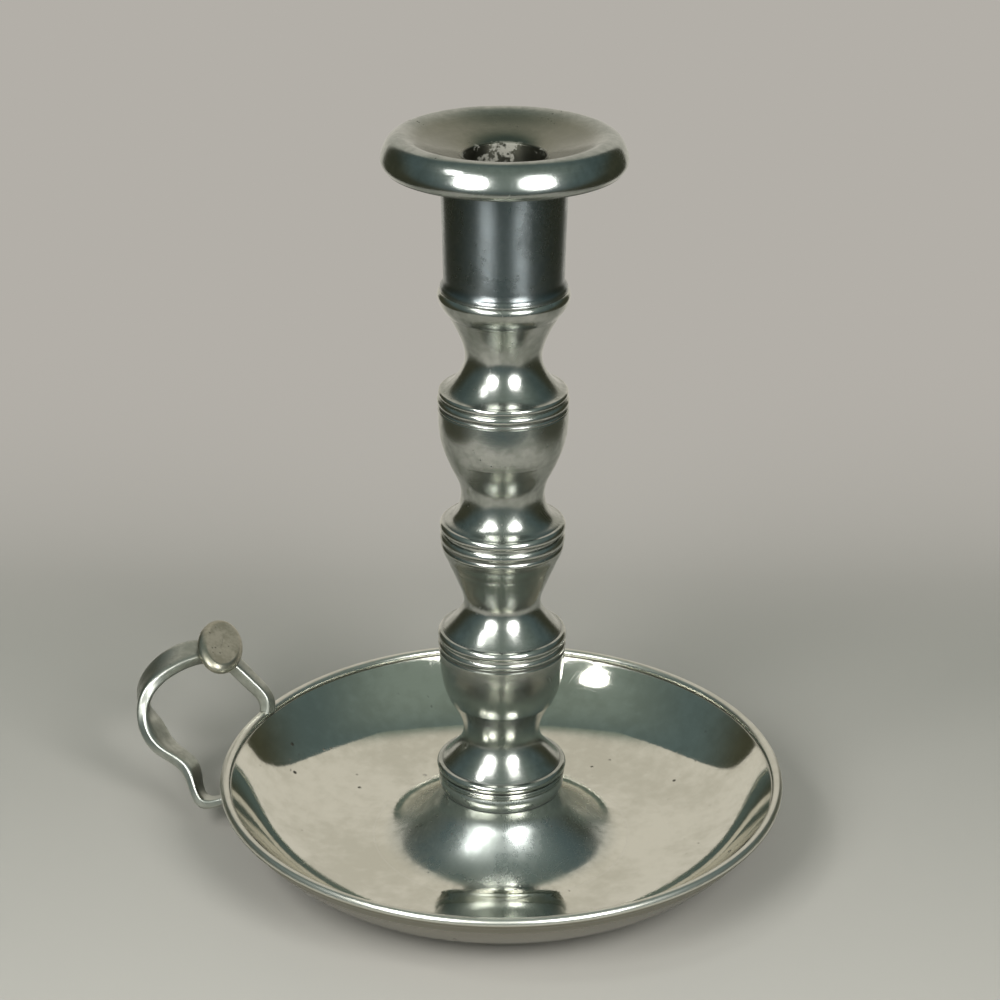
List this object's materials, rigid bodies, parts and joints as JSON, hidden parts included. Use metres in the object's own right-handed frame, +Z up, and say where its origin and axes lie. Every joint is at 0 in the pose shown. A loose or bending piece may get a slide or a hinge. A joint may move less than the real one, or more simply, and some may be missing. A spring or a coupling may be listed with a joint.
{
  "type": "chamberstick",
  "caption": "Pewter chamberstick: a turned stem of stacked hollow castings on a saucer dish with a strap finger loop and thumb rest, and a lift-off flared nozzle in the candle cup.",
  "frame": {"origin": "On the stem axis at the flat underside of the dish, where the object stands on the table.", "axes": "+Z is up along the stem axis. -X points to the side where the finger loop stands out. -Y is the front of the dish, which faces the viewer."},
  "size_m": [0.1935, 0.165, 0.2157],
  "materials": {
    "stem_pewter": "Satin pewter castings of the foot, stem, cup, nozzle, finger loop and thumb rest.",
    "dish_pewter": "Polished pewter of the saucer dish, with fine marks from use.",
    "rod_steel": "Plain steel of the hidden rod, washer and nut."
  },
  "bodies": {
    "candlestick": {"dish": "dish_pewter", "foot": "stem_pewter", "shaft_base": "stem_pewter", "shaft_lower": "stem_pewter", "shaft_middle": "stem_pewter", "shaft_upper": "stem_pewter", "candle_cup": "stem_pewter", "tie_rod": "rod_steel", "washer": "rod_steel", "nut": "rod_steel", "finger_loop": "stem_pewter", "thumb_rest": "stem_pewter"},
    "nozzle_body": {"nozzle": "stem_pewter"}
  },
  "joints": [
    {"name": "nozzle_lift", "type": "slide", "parent": "candlestick", "child": "nozzle_body", "axis": [0, 0, 1], "range_m": [0, 0.03]}
  ]
}
